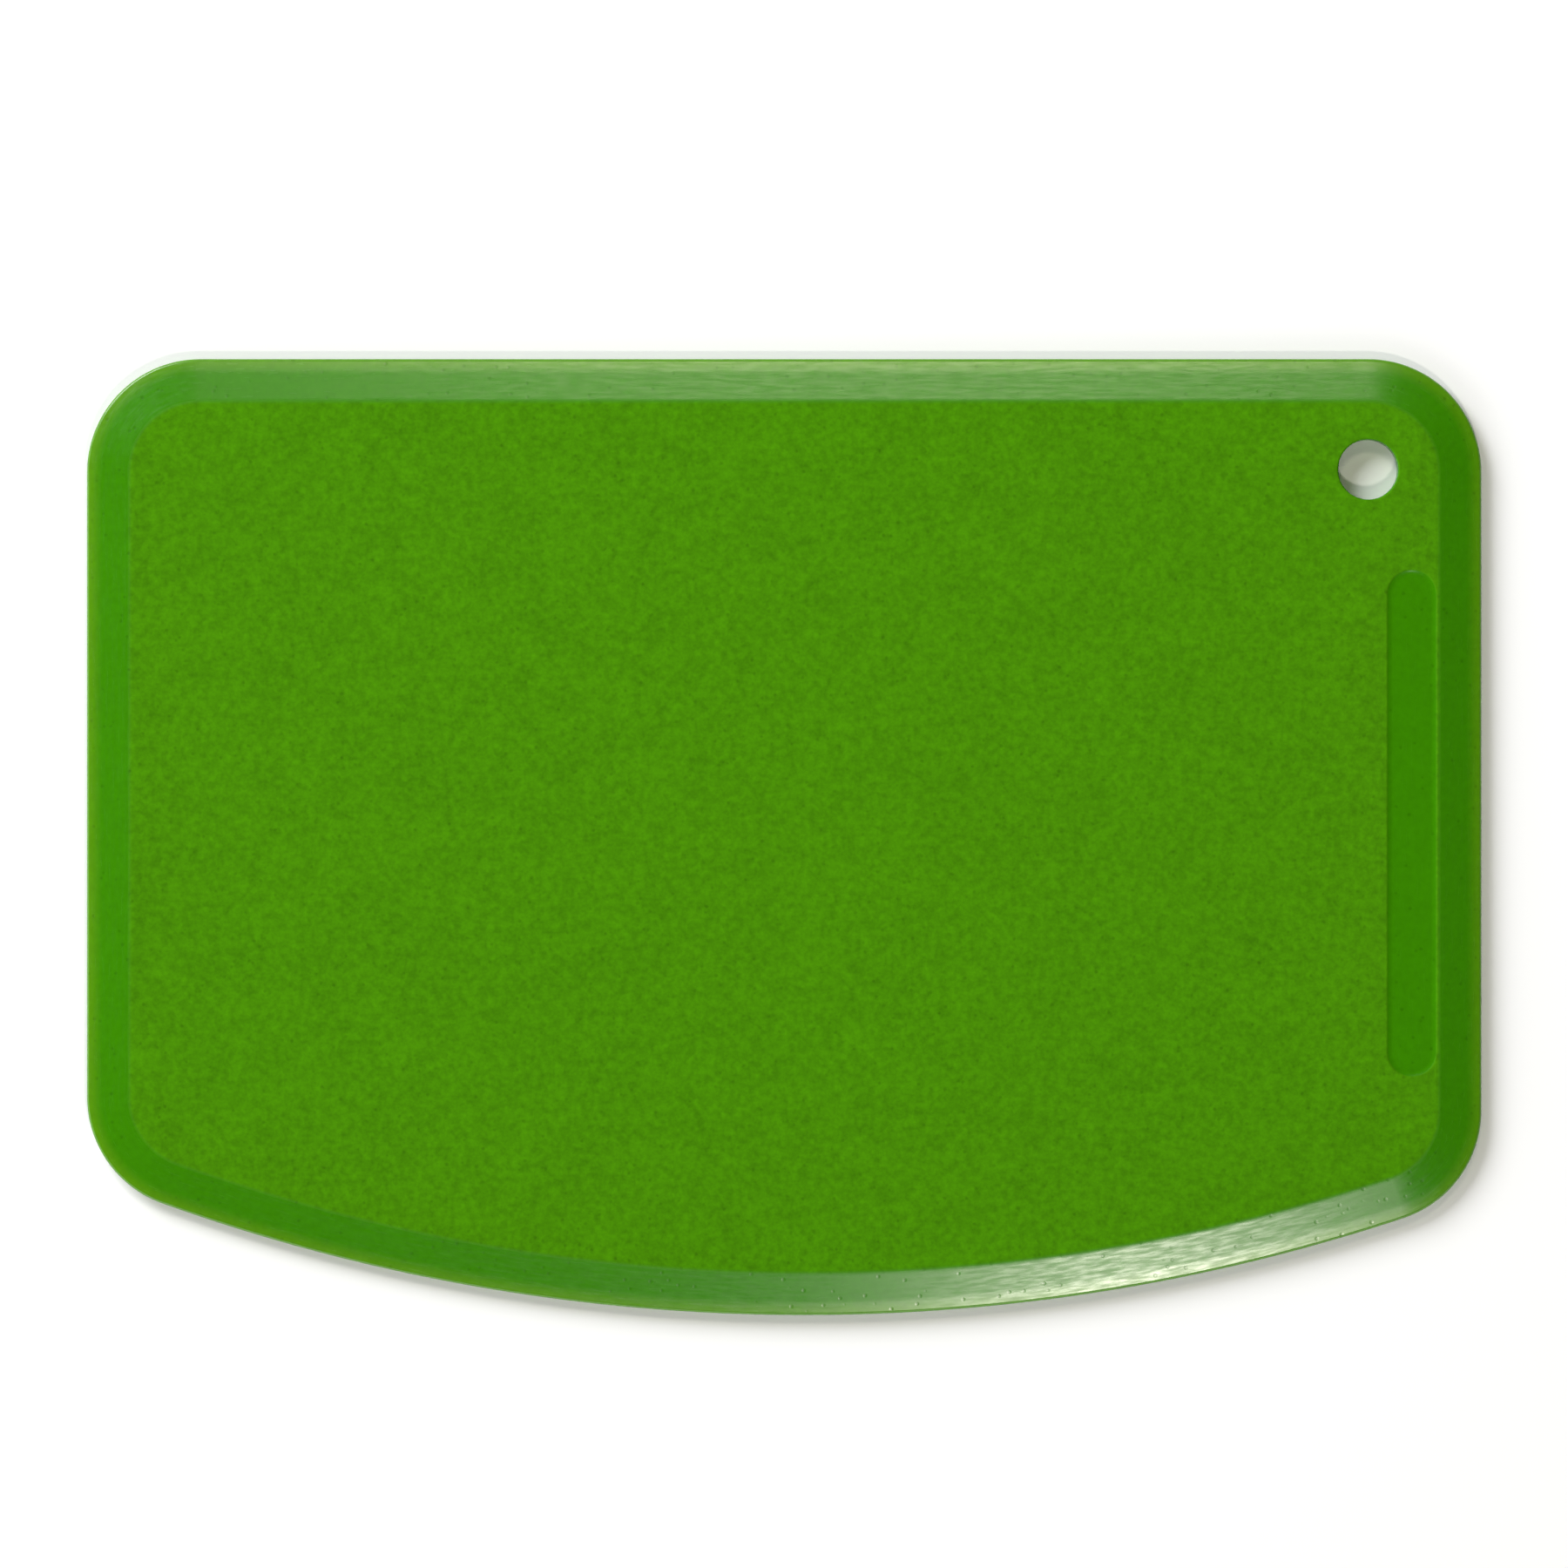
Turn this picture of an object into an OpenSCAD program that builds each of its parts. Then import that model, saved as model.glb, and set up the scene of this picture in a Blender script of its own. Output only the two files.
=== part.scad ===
// Bowl scraper: one flexible plate, moulded in a single shot, with a thin bevelled rim all round.
// Three edges are straight, for the bench, and the long lower edge is bowed, for the bowl.
// It lies face up: X runs along the plate, Y towards the straight long edge and Z up.
// The origin is the middle of the plate's box, on the surface that the plate lies on.
// All sizes are in millimetres.

/* [Plate] */
// Overall length, along X
plate_l = 139.7; // [120:0.1:170]
// Overall width, along Y, from the straight edge to the crown of the bowed one
plate_w = 95.8; // [85:0.1:120]
// Thickness of the flat middle
plate_t = 2.4; // [1.8:0.1:3.2]
// Radius of the four corners
corner_r = 11.35; // [9:0.05:15]
// Radius of the bowed edge
bow_r = 190.4; // [150:0.1:300]
// How far the crown of the bow lies to the right of the plate's middle
bow_shift = 2; // [-4:0.1:4]

/* [Rim] */
// Width of the bevel, on both faces
bevel_w = 4.35; // [3:0.05:6]
// Radius of the rounded lip that the two bevels end in
lip_r = 0.35; // [0.25:0.05:0.5]

/* [Hanging hole] */
// Diameter of the hole
hole_d = 6; // [4:0.1:7]
// From the right edge to the middle of the hole
hole_from_end = 11.4; // [10.5:0.1:16]
// From the straight long edge to the middle of the hole
hole_from_edge = 11.1; // [10.5:0.1:16]
// Width of the broken edge round each mouth of the hole
hole_break = 0.2; // [0.1:0.05:0.3]

/* [Sunk panel] */
// Length of the bare, round-ended panel beside the right bevel
panel_l = 51; // [30:0.5:54]
// Width of the panel
panel_w = 5.2; // [3:0.1:6]
// Depth of the panel below the face
panel_depth = 0.15; // [0.1:0.05:0.3]
// How far the panel's middle lies above the plate's middle
panel_rise = 1.4; // [-2:0.1:4]
// Strip of the face left between the panel and the bevel
panel_gap = 0.1; // [0.05:0.05:1]

/* [Back] */
// Diameter of the shallow marks that the ejector pins leave
ejector_d = 6; // [4:0.5:8]
// Depth of those marks
ejector_depth = 0.1; // [0.05:0.05:0.2]
// Spacing of the pins along X
ejector_pitch_x = 84; // [60:1:96]
// Spacing of the pins along Y
ejector_pitch_y = 40; // [24:1:44]
// Diameter of the dimple that the plastic was fed through
gate_d = 4; // [3:0.5:6]
// Depth of that dimple
gate_depth = 0.4; // [0.2:0.1:0.6]

/* [Hidden] */
$fn = 96;
plate_colour = [0.29, 0.55, 0.02];

// A cut starts this far outside the face that it goes into
clear = 1;
half_t = plate_t / 2;
// How far the blank stands out past the plate, and how far the cuts reach past its edges
margin = 4;
waste = 40;
// How far the bow's cut runs to each side of straight down, in degrees
bow_reach = 40;

// The middles of the corner arcs; the lower two lie where the corners meet the bow smoothly
corner_x = plate_l / 2 - corner_r;
top_y = plate_w / 2 - corner_r;
bow_y = bow_r - plate_w / 2;
function low_y(side) = bow_y - sqrt(pow(bow_r - corner_r, 2) - pow(side * corner_x - bow_shift, 2));
// The angle, seen from the bow's centre, from straight down to a lower corner's middle
function bow_angle(side) = asin((corner_x - side * bow_shift) / (bow_r - corner_r));

// The bevel leaves the face bevel_w inside the edge and runs at this slope onto the lip's arc
crest_run = bevel_w - lip_r;
bevel_slope = atan2(half_t, crest_run) - asin(lip_r / norm([crest_run, half_t]));
crest_x = corner_r - bevel_w;
lip_x = corner_r - lip_r;

panel_x = plate_l / 2 - bevel_w - panel_gap - panel_w / 2;

// Half of the rim's section above its middle height, from a corner's middle out to the lip
module half_section() {
    tip = [lip_x + lip_r * sin(bevel_slope), lip_r * cos(bevel_slope)];
    polygon([[0, 0], [0, half_t], [crest_x, half_t], tip, [lip_x, 0]]);
}

// The rim's whole section: two bevels that end in a round lip
module rim_section() {
    translate([0, half_t]) {
        half_section();
        mirror([0, 1]) half_section();
        translate([lip_x, 0]) circle(lip_r);
    }
}

// What is cut away outside the rim's section
module outside_section() {
    difference() {
        translate([crest_x, -clear]) square([waste, plate_t + 2 * clear]);
        rim_section();
    }
}

// A place reached in two steps, to the hundredth and then the rest, so that arcs meet exactly
module at(place) {
    near = [for (v = place) round(100 * v) / 100];
    translate(near) translate(place - near) children();
}

// A cut along a straight edge, centred on the corner's middle line, with the waste on its +X side
module straight_cut(length) {
    rotate([90, 0, 0]) linear_extrude(length, center = true) outside_section();
}

// A cut round a corner, between two compass angles
module corner_cut(from, to) {
    rotate_extrude(angle = to - from, start = from) outside_section();
}

// The long cuts run on past the corners, which lie inside them; the corner cuts stop where
// the edges begin
module rim_cuts() {
    long = plate_l + 2 * waste;
    at([corner_x, 0]) straight_cut(long);
    at([0, top_y]) rotate([0, 0, 90]) straight_cut(long);
    at([-corner_x, 0]) rotate([0, 0, 180]) straight_cut(long);
    at([corner_x, top_y]) corner_cut(0, 90);
    at([-corner_x, top_y]) corner_cut(90, 180);
    at([-corner_x, low_y(-1)]) corner_cut(180, 270 - bow_angle(-1));
    at([corner_x, low_y(1)]) corner_cut(270 + bow_angle(1), 360);
    at([bow_shift, bow_y]) {
        rotate_extrude(angle = 2 * bow_reach, start = 270 - bow_reach)
            translate([bow_r - corner_r, 0]) outside_section();
    }
}

// The blank that the rim is cut from
module blank() {
    translate([-plate_l / 2 - margin, -plate_w / 2 - margin, 0])
        cube([plate_l + 2 * margin, plate_w + 2 * margin, plate_t]);
}

// The hole's straight wall and the broken edges at its two mouths
module hanging_hole() {
    mouth_d = hole_d + 2 * hole_break;
    translate([plate_l / 2 - hole_from_end, plate_w / 2 - hole_from_edge, 0]) {
        translate([0, 0, -clear]) cylinder(d = hole_d, h = plate_t + 2 * clear);
        cylinder(d1 = mouth_d, d2 = hole_d, h = hole_break);
        translate([0, 0, plate_t - hole_break]) cylinder(d1 = hole_d, d2 = mouth_d, h = hole_break);
    }
}

// The bare panel, sunk a little below the face, with round ends
module panel_recess() {
    end_y = (panel_l - panel_w) / 2;
    translate([panel_x, panel_rise, plate_t - panel_depth]) {
        linear_extrude(clear) {
            square([panel_w, 2 * end_y], center = true);
            for (side = [-1, 1]) {
                translate([0, side * end_y]) circle(d = panel_w);
            }
        }
    }
}

// The marks of four ejector pins and of the gate, all on the back
module moulding_marks() {
    for (side = [-1, 1], end = [-1, 1]) {
        translate([side * ejector_pitch_x / 2, end * ejector_pitch_y / 2, -clear])
            cylinder(d = ejector_d, h = clear + ejector_depth);
    }
    translate([0, 0, -clear]) cylinder(d = gate_d, h = clear + gate_depth);
}

// The whole scraper is this one moulded piece
module scraper_plate() {
    color(plate_colour) {
        difference() {
            blank();
            rim_cuts();
            hanging_hole();
            panel_recess();
            moulding_marks();
        }
    }
}

scraper_plate();
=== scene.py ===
import math

import bpy
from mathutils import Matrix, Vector


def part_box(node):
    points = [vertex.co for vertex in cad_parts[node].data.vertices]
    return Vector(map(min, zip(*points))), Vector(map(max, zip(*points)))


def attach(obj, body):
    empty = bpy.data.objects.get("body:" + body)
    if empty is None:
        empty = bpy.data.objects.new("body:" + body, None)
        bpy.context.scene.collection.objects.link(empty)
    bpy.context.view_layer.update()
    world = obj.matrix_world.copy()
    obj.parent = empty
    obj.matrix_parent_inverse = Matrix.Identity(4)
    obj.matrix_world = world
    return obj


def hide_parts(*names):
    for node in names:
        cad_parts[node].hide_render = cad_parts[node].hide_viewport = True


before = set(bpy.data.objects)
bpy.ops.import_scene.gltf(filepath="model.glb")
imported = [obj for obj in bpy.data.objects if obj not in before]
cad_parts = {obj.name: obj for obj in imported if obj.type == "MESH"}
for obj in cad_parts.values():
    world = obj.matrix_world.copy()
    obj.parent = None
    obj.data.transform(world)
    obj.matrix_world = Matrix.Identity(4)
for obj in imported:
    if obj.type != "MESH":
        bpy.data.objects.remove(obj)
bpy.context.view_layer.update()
mm = 0.001


# The camera. It hangs over the table and looks straight down, with the bowed edge of the scraper
# at the bottom of the picture. It stands far off, so that the plate is seen nearly square on.
picture_side = 0.1571
picture_middle = (-0.00002, 0.00532)
lip_height = 0.0012
camera_data = bpy.data.cameras.new("camera")
camera_data.lens = 200
camera_data.sensor_width = 36
camera = bpy.data.objects.new("camera", camera_data)
bpy.context.collection.objects.link(camera)
camera_height = lip_height + picture_side * camera_data.lens / camera_data.sensor_width
camera.location = (*picture_middle, camera_height)
bpy.context.scene.camera = camera


# The scraper plate. It is one flexible piece of green polypropylene, moulded in a single shot.
# One section, with a bevel on each face and a round lip, runs all the way round it. The mould's
# parting line follows the lip, so both faces have the same bevel.
low, high = (Vector(corner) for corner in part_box("scraper_plate"))
plate_l = high.x - low.x
plate_w = high.y - low.y
plate_t = high.z - low.z
half_t = plate_t / 2
corner_r = 11.35 * mm
bow_r = 190.4 * mm
bow_shift = 2 * mm
bevel_w = 4.35 * mm
lip_r = 0.35 * mm
crest_r = 4 * mm

corner_x = plate_l / 2 - corner_r
top_y = plate_w / 2 - corner_r
bow_y = bow_r - plate_w / 2
bow_run = bow_r - corner_r


def low_y(side):
    """The height of a lower corner's middle, where the corner runs smoothly into the bow."""
    return bow_y - math.sqrt(bow_run ** 2 - (side * corner_x - bow_shift) ** 2)


def bow_angle(side):
    """The angle at the bow's centre from straight down to a lower corner's middle."""
    return math.asin((corner_x - side * bow_shift) / bow_run)


def extrude(x=0.0, y=0.0, z=0.0):
    """Draws the selected end of the mesh on along a straight line."""
    bpy.ops.mesh.extrude_region_move(TRANSFORM_OT_translate={"value": (x, y, z)})


def spin(angle, centre, axis, steps):
    """Draws the selected end of the mesh on round an arc."""
    bpy.ops.mesh.spin(steps=steps, angle=angle, center=centre, axis=axis)


def select_only(mesh, chosen):
    """Selects the vertices for which chosen(place) is true, and no others."""
    bpy.ops.object.mode_set(mode="EDIT")
    bpy.ops.mesh.select_mode(type="VERT")
    bpy.ops.mesh.select_all(action="DESELECT")
    bpy.ops.object.mode_set(mode="OBJECT")
    for vertex in mesh.vertices:
        vertex.select = chosen(vertex.co)
    bpy.ops.object.mode_set(mode="EDIT")


slope = math.atan2(half_t, bevel_w - lip_r) - math.asin(lip_r / math.hypot(half_t, bevel_w - lip_r))
crest_half = crest_r * math.tan(slope / 2)
crest_x = plate_l / 2 - bevel_w
lip_x = plate_l / 2 - lip_r
first_x = crest_x - crest_half
band_inside = 0.3 * mm
start_y = low_y(1)
down_y = (0, 1, 0)
turn_left = (0, 0, -1)

bpy.ops.object.select_all(action="DESELECT")
bpy.ops.mesh.primitive_plane_add(size=mm, location=(first_x - band_inside, start_y, plate_t))
plate = bpy.context.object
plate.name = "moulded_plate"
bpy.ops.object.transform_apply(location=True, rotation=True, scale=True)
bpy.ops.object.mode_set(mode="EDIT")
bpy.ops.mesh.merge(type="CENTER")

# The section, drawn from the front face round the lip to the back face
crest_end = (first_x + crest_r * math.sin(slope), plate_t - crest_r * (1 - math.cos(slope)))
lip_start = (lip_x + lip_r * math.sin(slope), half_t + lip_r * math.cos(slope))
extrude(x=band_inside)
spin(slope, (first_x, start_y, plate_t - crest_r), (0, -1, 0), 5)
extrude(x=lip_start[0] - crest_end[0], z=lip_start[1] - crest_end[1])
spin(math.pi - 2 * slope, (lip_x, start_y, half_t), (0, -1, 0), 10)
extrude(x=crest_end[0] - lip_start[0], z=lip_start[1] - crest_end[1])
spin(slope, (first_x, start_y, crest_r), (0, -1, 0), 5)
extrude(x=-band_inside)
bpy.ops.mesh.select_all(action="SELECT")

# The section led round the outline: up the right edge, over the top and back along the bow
corner_steps = 36
extrude(y=top_y - start_y)
spin(math.pi / 2, (corner_x, top_y, 0), turn_left, corner_steps)
extrude(x=-2 * corner_x)
spin(math.pi / 2, (-corner_x, top_y, 0), turn_left, corner_steps)
extrude(y=low_y(-1) - top_y)
spin(math.pi / 2 - bow_angle(-1), (-corner_x, low_y(-1), 0), turn_left, corner_steps)
spin(bow_angle(-1) + bow_angle(1), (bow_shift, bow_y, 0), turn_left, 96)
spin(math.pi / 2 - bow_angle(1), (corner_x, low_y(1), 0), turn_left, corner_steps)
bpy.ops.mesh.select_all(action="SELECT")
bpy.ops.mesh.remove_doubles(threshold=0.002 * mm)

# The two faces that close the ring
for face_z in (plate_t, 0.0):
    bpy.ops.mesh.select_all(action="DESELECT")
    bpy.ops.mesh.select_mode(type="EDGE")
    bpy.ops.mesh.select_non_manifold(extend=False, use_wire=False, use_boundary=True,
                                     use_multi_face=False, use_non_contiguous=False, use_verts=False)
    bpy.ops.object.mode_set(mode="OBJECT")
    for edge in plate.data.edges:
        ends = [plate.data.vertices[index].co.z for index in edge.vertices]
        edge.select = edge.select and all(abs(z - face_z) < 0.01 * mm for z in ends)
    bpy.ops.object.mode_set(mode="EDIT")
    bpy.ops.mesh.edge_face_add()
bpy.ops.mesh.select_all(action="SELECT")
bpy.ops.mesh.normals_make_consistent(inside=False)
bpy.ops.object.mode_set(mode="OBJECT")


def cut_with(cutter):
    """Cuts the shape of one object out of the plate, and takes that object away."""
    cut = plate.modifiers.new("cut", "BOOLEAN")
    cut.operation = "DIFFERENCE"
    cut.solver = "EXACT"
    cut.object = cutter
    bpy.ops.object.select_all(action="DESELECT")
    bpy.context.view_layer.objects.active = plate
    bpy.ops.object.modifier_apply(modifier=cut.name)
    bpy.data.objects.remove(cutter)


def add_disc(radius, z_low, z_high, x, y, sides):
    """Adds a round cutter between two heights."""
    bpy.ops.object.select_all(action="DESELECT")
    bpy.ops.mesh.primitive_cylinder_add(vertices=sides, radius=radius, depth=z_high - z_low,
                                        location=(x, y, (z_low + z_high) / 2))
    cutter = bpy.context.object
    bpy.ops.object.transform_apply(location=True, rotation=True, scale=True)
    return cutter


# The hanging hole, made by a core pin; its two mouths have small rounded edges
hole_r = 3 * mm
hole_from_end = 11.4 * mm
hole_from_edge = 11.1 * mm
mouth_round = 0.2 * mm
past = mm
hole_x = plate_l / 2 - hole_from_end
hole_y = plate_w / 2 - hole_from_edge
cut_with(add_disc(hole_r, -past, plate_t + past, hole_x, hole_y, sides=128))
select_only(plate.data, lambda co: abs(math.hypot(co.x - hole_x, co.y - hole_y) - hole_r) < 0.01 * mm)
bpy.ops.mesh.select_mode(type="EDGE")
bpy.ops.object.mode_set(mode="OBJECT")
for edge in plate.data.edges:
    ends = [plate.data.vertices[index].co.z for index in edge.vertices]
    edge.select = edge.select and abs(ends[0] - ends[1]) < 0.01 * mm
bpy.ops.object.mode_set(mode="EDIT")
bpy.ops.mesh.bevel(offset=mouth_round, offset_type="OFFSET", segments=4, profile=0.5, affect="EDGES")
bpy.ops.object.mode_set(mode="OBJECT")

# The sunk panel beside the right bevel. It is bare, its ends are round, and its sides run down
# in a soft curve
panel_l = 51 * mm
panel_w = 5.2 * mm
panel_depth = 0.15 * mm
panel_gap = 0.1 * mm
panel_rise = 1.4 * mm
side_w = 0.7 * mm
side_steps = 10
panel_x = crest_x - panel_gap - panel_w / 2
panel_half = panel_w / 2 + side_w
bpy.ops.object.select_all(action="DESELECT")
panel_bottom = plate_t + panel_depth
panel_cutter = add_disc(panel_half, panel_bottom, panel_bottom + past, panel_x, panel_rise, sides=94)
for side in (-1, 1):
    select_only(panel_cutter.data, lambda co: side * (co.y - panel_rise) > 0)
    bpy.ops.transform.translate(value=(0, side * (panel_l - panel_w) / 2, 0))
    bpy.ops.object.mode_set(mode="OBJECT")
select_only(panel_cutter.data, lambda co: co.z < plate_t + 2 * panel_depth)
bpy.ops.mesh.select_mode(type="FACE")
for step in range(side_steps):
    drop = [panel_depth * math.cos(math.pi * part / side_steps) for part in (step, step + 1)]
    bpy.ops.mesh.inset(thickness=2 * side_w / side_steps, depth=drop[0] - drop[1])
bpy.ops.object.mode_set(mode="OBJECT")
cut_with(panel_cutter)

# The marks on the back: four ejector pins, and the gate that the plastic was fed through, with
# the stub that is left where the feed was broken off
ejector_r = 3 * mm
ejector_depth = 0.1 * mm
ejector_x = 42 * mm
ejector_y = 20 * mm
for side_x in (-ejector_x, ejector_x):
    for side_y in (-ejector_y, ejector_y):
        cut_with(add_disc(ejector_r, -past, ejector_depth, side_x, side_y, sides=64))
gate_r = 2 * mm
gate_depth = 0.4 * mm
gate_round = 0.25 * mm
gate_floor_w = 0.9 * mm
stub_taper = 0.1 * mm
stub_height = 0.22 * mm
gate = add_disc(gate_r, -past, gate_depth, 0, 0, sides=64)
select_only(gate.data, lambda co: co.z > 0)
bpy.ops.mesh.select_mode(type="FACE")
bpy.ops.mesh.bevel(offset=gate_round, segments=4, profile=0.5, affect="EDGES")
bpy.ops.mesh.select_all(action="DESELECT")
bpy.ops.object.mode_set(mode="OBJECT")
for face in gate.data.polygons:
    face.select = face.normal.z > 0.99 and face.center.z > gate_depth / 2
bpy.ops.object.mode_set(mode="EDIT")
bpy.ops.mesh.inset(thickness=gate_floor_w, depth=0)
bpy.ops.mesh.inset(thickness=stub_taper, depth=-stub_height)
bpy.ops.object.mode_set(mode="OBJECT")
cut_with(gate)

bpy.ops.object.select_all(action="DESELECT")
plate.select_set(True)
bpy.context.view_layer.objects.active = plate
bpy.ops.object.shade_smooth_by_angle(angle=math.radians(30))
weighted = plate.modifiers.new("weighted", "WEIGHTED_NORMAL")
weighted.mode = "FACE_AREA"
weighted.keep_sharp = True
bpy.ops.object.modifier_apply(modifier=weighted.name)


def rim_place(x, y):
    """(how far along the outline, how far in from it) for a place on the plate."""
    right_run = top_y - low_y(1)
    quarter = corner_r * math.pi / 2
    left_start = right_run + 2 * quarter + 2 * corner_x
    left_run = top_y - low_y(-1)
    left_turn = corner_r * (math.pi / 2 - bow_angle(-1))
    bow_start = left_start + left_run + left_turn
    if y > top_y and abs(x) > corner_x:
        side = 1 if x > 0 else -1
        out = (abs(x) - corner_x, y - top_y)
        turn = math.atan2(out[1], out[0])
        along = right_run + corner_r * turn if side > 0 else left_start - corner_r * turn
        return along, corner_r - math.hypot(*out)
    for side in (1, -1):
        out = (side * x - corner_x, y - low_y(side))
        lean = math.atan2(out[0], -out[1])
        if out[0] > 0 and out[1] < 0 and lean > bow_angle(side):
            turn = corner_r * (math.pi / 2 - lean)
            along = -turn if side > 0 else left_start + left_run + turn
            return along, corner_r - math.hypot(*out)
    bow_place = math.atan2(x - bow_shift, bow_y - y)
    ways = [(plate_l / 2 - x, y - low_y(1)),
            (plate_w / 2 - y, right_run + quarter + corner_x - x),
            (x + plate_l / 2, left_start + top_y - y),
            (bow_r - math.hypot(x - bow_shift, y - bow_y), bow_start + bow_r * (bow_place + bow_angle(-1)))]
    from_edge, along = min(ways)
    return along, from_edge


outline_len = (top_y - low_y(1)) + corner_r * math.pi + 2 * corner_x + (top_y - low_y(-1))
outline_len += corner_r * (math.pi - bow_angle(-1) - bow_angle(1))
outline_len += bow_r * (bow_angle(-1) + bow_angle(1))
rim_map = plate.data.uv_layers.new(name="rim")
for face in plate.data.polygons:
    places = [rim_place(*plate.data.vertices[index].co.xy) for index in face.vertices]
    latest = max(place[0] for place in places)
    for loop, (along, from_edge) in zip(face.loop_indices, places):
        if latest - along > outline_len / 2:
            along += outline_len
        rim_map.data[loop].uv = (along, from_edge)


def node(tree, kind, inputs=None, **settings):
    """Adds a shader node, sets its properties, and fills or links its inputs."""
    made = tree.nodes.new(kind)
    for name, value in settings.items():
        setattr(made, name, value)
    for key, value in (inputs or {}).items():
        if isinstance(value, bpy.types.NodeSocket):
            tree.links.new(value, made.inputs[key])
        else:
            made.inputs[key].default_value = value
    return made


def maths(tree, operation, first, second=0.0):
    """One step of arithmetic between sockets or numbers."""
    return node(tree, "ShaderNodeMath", {0: first, 1: second}, operation=operation).outputs[0]


def ramp(tree, value, start, end, low_value=0.0, high_value=1.0):
    """A smooth step of value from start to end."""
    made = node(tree, "ShaderNodeMapRange", {"Value": value, "From Min": start, "From Max": end,
                                             "To Min": low_value, "To Max": high_value},
                interpolation_type="SMOOTHSTEP")
    return made.outputs["Result"]


def blend(tree, share, first, second):
    """A mix of two colours."""
    made = node(tree, "ShaderNodeMix", data_type="RGBA")
    for key, value in (("Factor", share), ("A", first), ("B", second)):
        socket = next(s for s in made.inputs if s.name == key and (key == "Factor" or s.type == "RGBA"))
        if isinstance(value, bpy.types.NodeSocket):
            tree.links.new(value, socket)
        else:
            socket.default_value = value
    return next(s for s in made.outputs if s.type == "RGBA")


# The plastic. The mould's flat faces are spark eroded and leave a fine matt grain. Its bevels,
# panel and pins are smooth, so there the green is deeper and shines. Towards the thin lip the
# green turns pale and yellow: that is painted light, the light that gets through the thin lip
# painted into the colour.
face_green = (0.060, 0.236, 0.0007, 1)
deep_green = (0.038, 0.212, 0.0003, 1)
# Painted light: the paler yellow green of the lip stands in for light coming through the thin plastic
painted_lip_light_green = (0.092, 0.268, 0.003, 1)
plastic = bpy.data.materials.new("leaf_green_polypropylene")
plastic.use_nodes = True
tree = plastic.node_tree
tree.nodes.clear()
place = node(tree, "ShaderNodeTexCoord").outputs["Object"]
height = node(tree, "ShaderNodeSeparateXYZ", {"Vector": place}).outputs["Z"]
rim = node(tree, "ShaderNodeUVMap", uv_map="rim").outputs["UV"]
rim_parts = node(tree, "ShaderNodeSeparateXYZ", {"Vector": rim})
along, from_edge = rim_parts.outputs["X"], rim_parts.outputs["Y"]

from_middle = maths(tree, "ABSOLUTE", maths(tree, "SUBTRACT", height, half_t))
below_face = maths(tree, "SUBTRACT", half_t, from_middle)
on_face = ramp(tree, below_face, 0.03 * mm, 0.08 * mm, 1.0, 0.0)
inside_rim = ramp(tree, from_edge, bevel_w - 0.35 * mm, bevel_w + 0.25 * mm)
grained = maths(tree, "MULTIPLY", on_face, inside_rim)

grain = node(tree, "ShaderNodeTexNoise", {"Vector": place, "Scale": 1500.0, "Detail": 3.0,
                                          "Roughness": 0.6}).outputs["Fac"]
cloud = node(tree, "ShaderNodeTexNoise", {"Vector": place, "Scale": 260.0, "Detail": 2.0,
                                          "Roughness": 0.5}).outputs["Fac"]
stretched = node(tree, "ShaderNodeVectorMath", {0: rim, 1: (420.0, 3200.0, 0.0)}, operation="MULTIPLY")
streak = node(tree, "ShaderNodeTexNoise", {"Vector": stretched.outputs["Vector"], "Scale": 1.0,
                                           "Detail": 3.0, "Roughness": 0.55}).outputs["Fac"]
pit = node(tree, "ShaderNodeTexVoronoi", {"Vector": place, "Scale": 800.0, "Randomness": 1.0})
speck = ramp(tree, pit.outputs["Distance"], 0.06, 0.20, 1.0, 0.0)

mottle = maths(tree, "ADD", maths(tree, "MULTIPLY", maths(tree, "SUBTRACT", grain, 0.5), 0.90),
               maths(tree, "MULTIPLY", maths(tree, "SUBTRACT", cloud, 0.5), 0.20))
mottle = maths(tree, "ADD", 1.0, maths(tree, "MULTIPLY", mottle, ramp(tree, grained, 0.0, 1.0, 0.35, 1.0)))
mottle = maths(tree, "MULTIPLY", mottle, maths(tree, "SUBTRACT", 1.0, maths(tree, "MULTIPLY", speck, 0.18)))
green = blend(tree, grained, deep_green, face_green)
# Painted light: the green is blended towards the paler lip colour near the edge, for light let through the
# thin lip
painted_lip_light = ramp(tree, from_edge, 0.15 * mm, 1.7 * mm, 0.85, 0.0)
green = blend(tree, painted_lip_light, green, painted_lip_light_green)
green = node(tree, "ShaderNodeVectorMath", {0: green, "Scale": mottle}, operation="SCALE").outputs["Vector"]

grain_height = maths(tree, "MULTIPLY", grain, maths(tree, "MULTIPLY", grained, 0.020 * mm))
streak_share = maths(tree, "SUBTRACT", 1.0, grained)
streak_height = maths(tree, "MULTIPLY", streak, maths(tree, "MULTIPLY", streak_share, 0.004 * mm))
pit_height = maths(tree, "MULTIPLY", speck, -0.005 * mm)
relief = maths(tree, "ADD", maths(tree, "ADD", grain_height, streak_height), pit_height)
bump = node(tree, "ShaderNodeBump", {"Height": relief, "Strength": 1.0, "Distance": 1.0})

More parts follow.
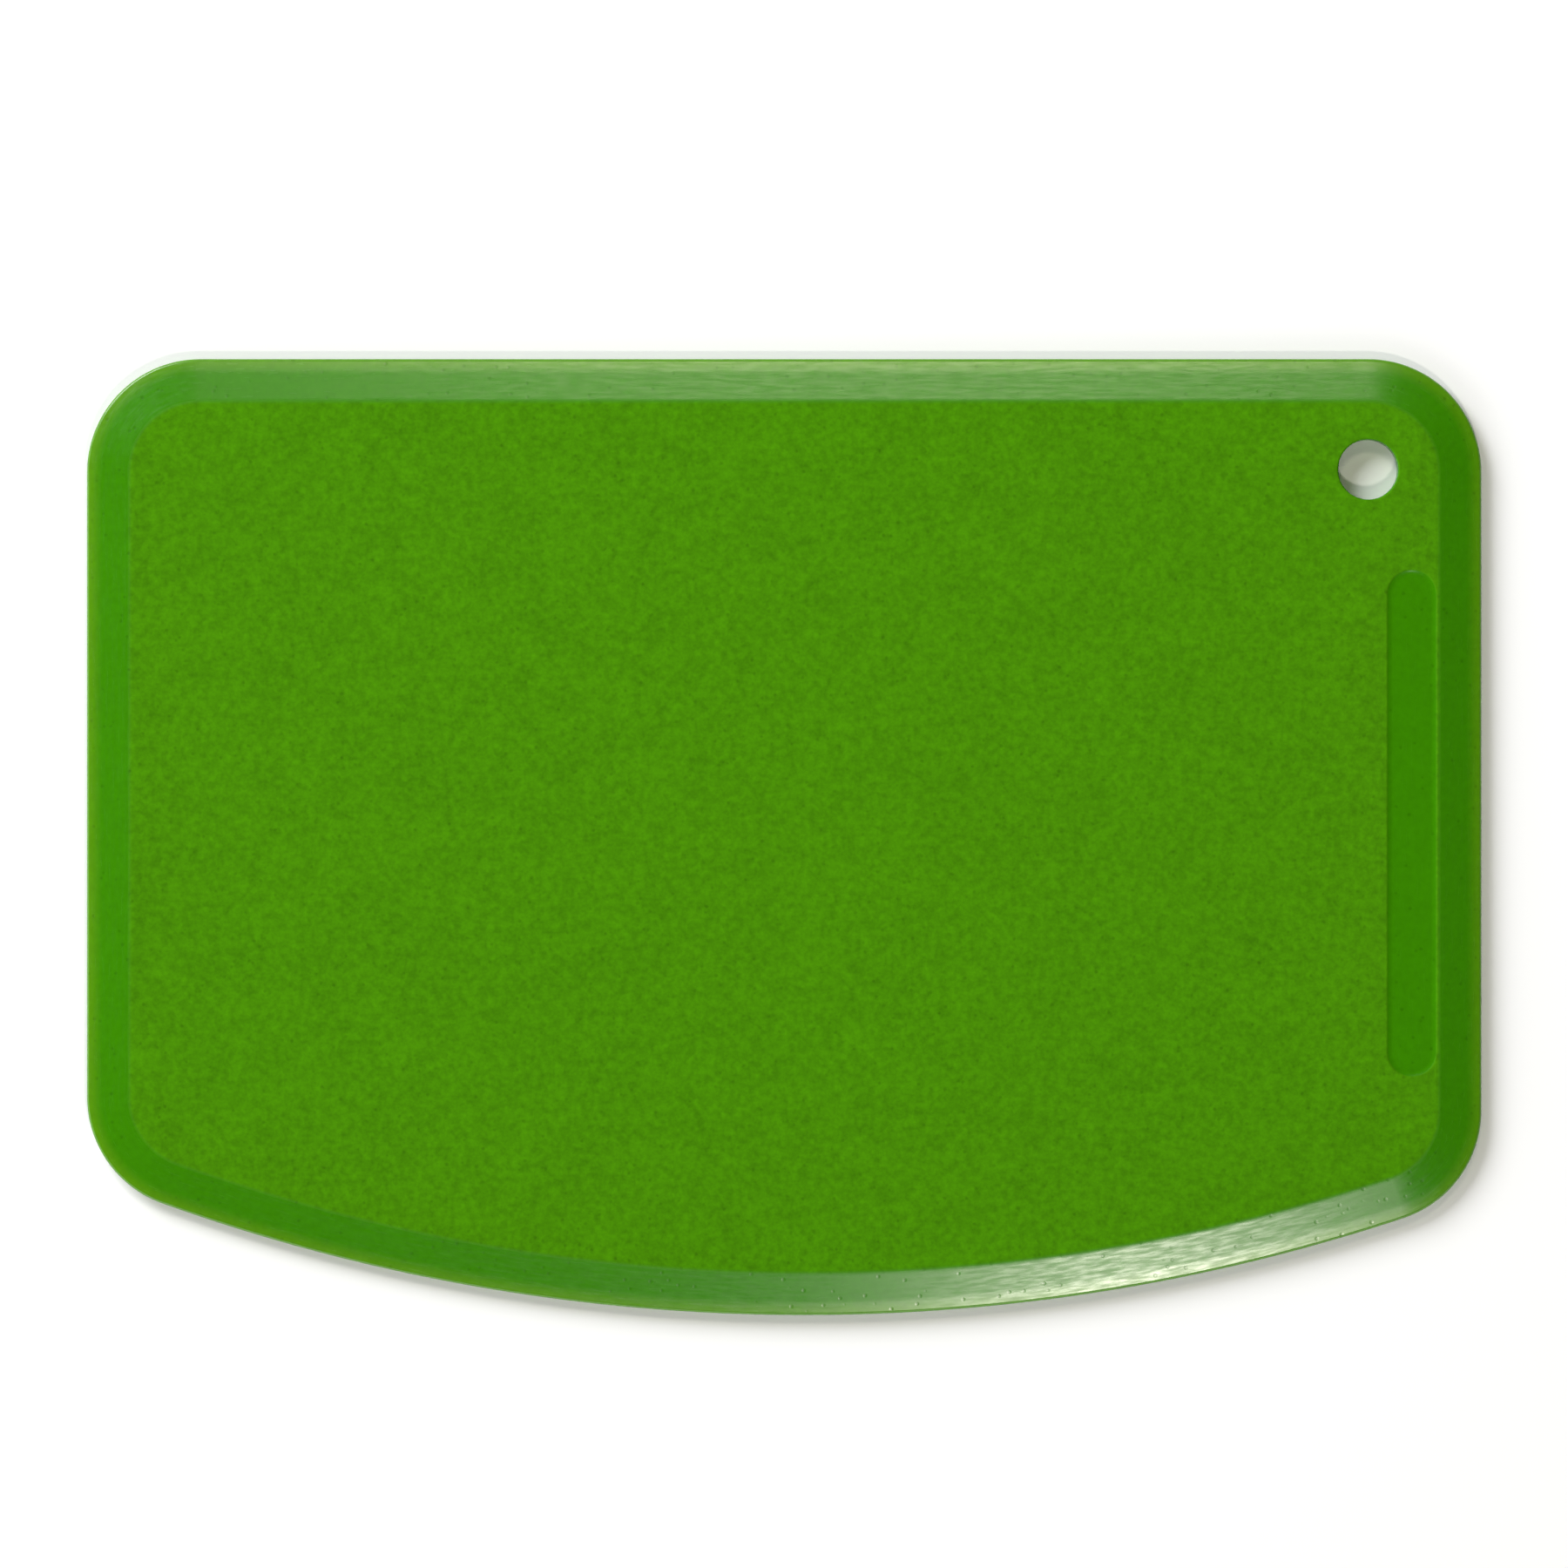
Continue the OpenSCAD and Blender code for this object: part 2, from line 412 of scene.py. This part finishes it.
smooth_shine = ramp(tree, streak, 0.3, 0.7, 0.20, 0.28)
roughness = node(tree, "ShaderNodeMix", {"Factor": grained, "A": smooth_shine, "B": 0.60}).outputs["Result"]
land = ramp(tree, from_edge, 1.0 * mm, 1.6 * mm, 0.55, 0.34)
gloss = maths(tree, "MULTIPLY", land, ramp(tree, from_edge, bevel_w, bevel_w + 0.3 * mm, 1.0, 0.3))
gloss = node(tree, "ShaderNodeMix", {"Factor": grained, "A": gloss, "B": 0.04}).outputs["Result"]
surface = node(tree, "ShaderNodeBsdfPrincipled", {"Base Color": green, "Roughness": roughness, "IOR": 1.49,
                                                  "Specular IOR Level": gloss,
                                                  "Normal": bump.outputs["Normal"]})
output = node(tree, "ShaderNodeOutputMaterial", {"Surface": surface.outputs["BSDF"]})
plate.data.materials.clear()
plate.data.materials.append(plastic)

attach(plate, "root")
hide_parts("scraper_plate")


# The table. It is a plain white board, far larger than the picture, and takes the scraper's
# shadow. It lies a hair below the plate, so that the two faces don't mix.
table_drop = 0.01 * mm
bpy.ops.object.select_all(action="DESELECT")
bpy.ops.mesh.primitive_plane_add(size=3, location=(0, 0, -table_drop))
table = bpy.context.object
table.name = "table"
board = bpy.data.materials.new("white_board")
board.use_nodes = True
board_surface = board.node_tree.nodes["Principled BSDF"]
board_surface.inputs["Base Color"].default_value = (1, 1, 1, 1)
board_surface.inputs["Roughness"].default_value = 1.0
board_surface.inputs["Specular IOR Level"].default_value = 0.0
table.data.materials.append(board)


# The lights. A softbox from the upper left throws the shadow, and two small ones, beyond the
# straight edge and beyond the bow, shine in the bevels. The room is dark overhead and brighter
# low down, most of all at the lower left, where its window is.
def softbox(name, place, target, size, power, colour=(1, 1, 1)):
    """Adds a rectangular lamp that faces a point."""
    lamp = bpy.data.lights.new(name, "AREA")
    lamp.shape = "RECTANGLE"
    lamp.size, lamp.size_y = size
    lamp.energy = power
    lamp.color = colour
    box = bpy.data.objects.new(name, lamp)
    bpy.context.collection.objects.link(box)
    box.location = place
    box.rotation_euler = (Vector(target) - Vector(place)).to_track_quat("-Z", "Y").to_euler()
    return box


softbox("key_softbox", (-0.52, 0.60, 0.50), (0, 0, 0), (0.50, 0.50), 9.0, (0.95, 0.965, 1))
softbox("straight_edge_softbox", (0.025, 0.37, 0.62), (0.01, 0.045, 0), (0.19, 0.10), 0.58, (1, 0.97, 0.72))
softbox("bow_softbox", (0.115, -0.36, 0.62), (0.04, -0.045, 0), (0.08, 0.06), 1.22, (1, 0.94, 0.84))

world = bpy.data.worlds.new("room")
bpy.context.scene.world = world
world.use_nodes = True
room = world.node_tree
room.nodes.clear()
direction = node(room, "ShaderNodeTexCoord").outputs["Generated"]
direction_parts = node(room, "ShaderNodeSeparateXYZ", {"Vector": direction})
glow = ramp(room, direction_parts.outputs["Z"], 0.36, 0.66, 1.30, 0.0)
towards_window = node(room, "ShaderNodeVectorMath", {0: direction, 1: (-0.83, -0.56, 0.0)},
                      operation="DOT_PRODUCT").outputs["Value"]
glow = maths(room, "MULTIPLY", glow, ramp(room, towards_window, -0.8, 0.8, 0.25, 1.70))
background = node(room, "ShaderNodeBackground", {"Color": (0.97, 0.98, 1, 1), "Strength": glow})
node(room, "ShaderNodeOutputWorld", {"Surface": background.outputs["Background"]})

bpy.context.scene.view_settings.view_transform = "Standard"
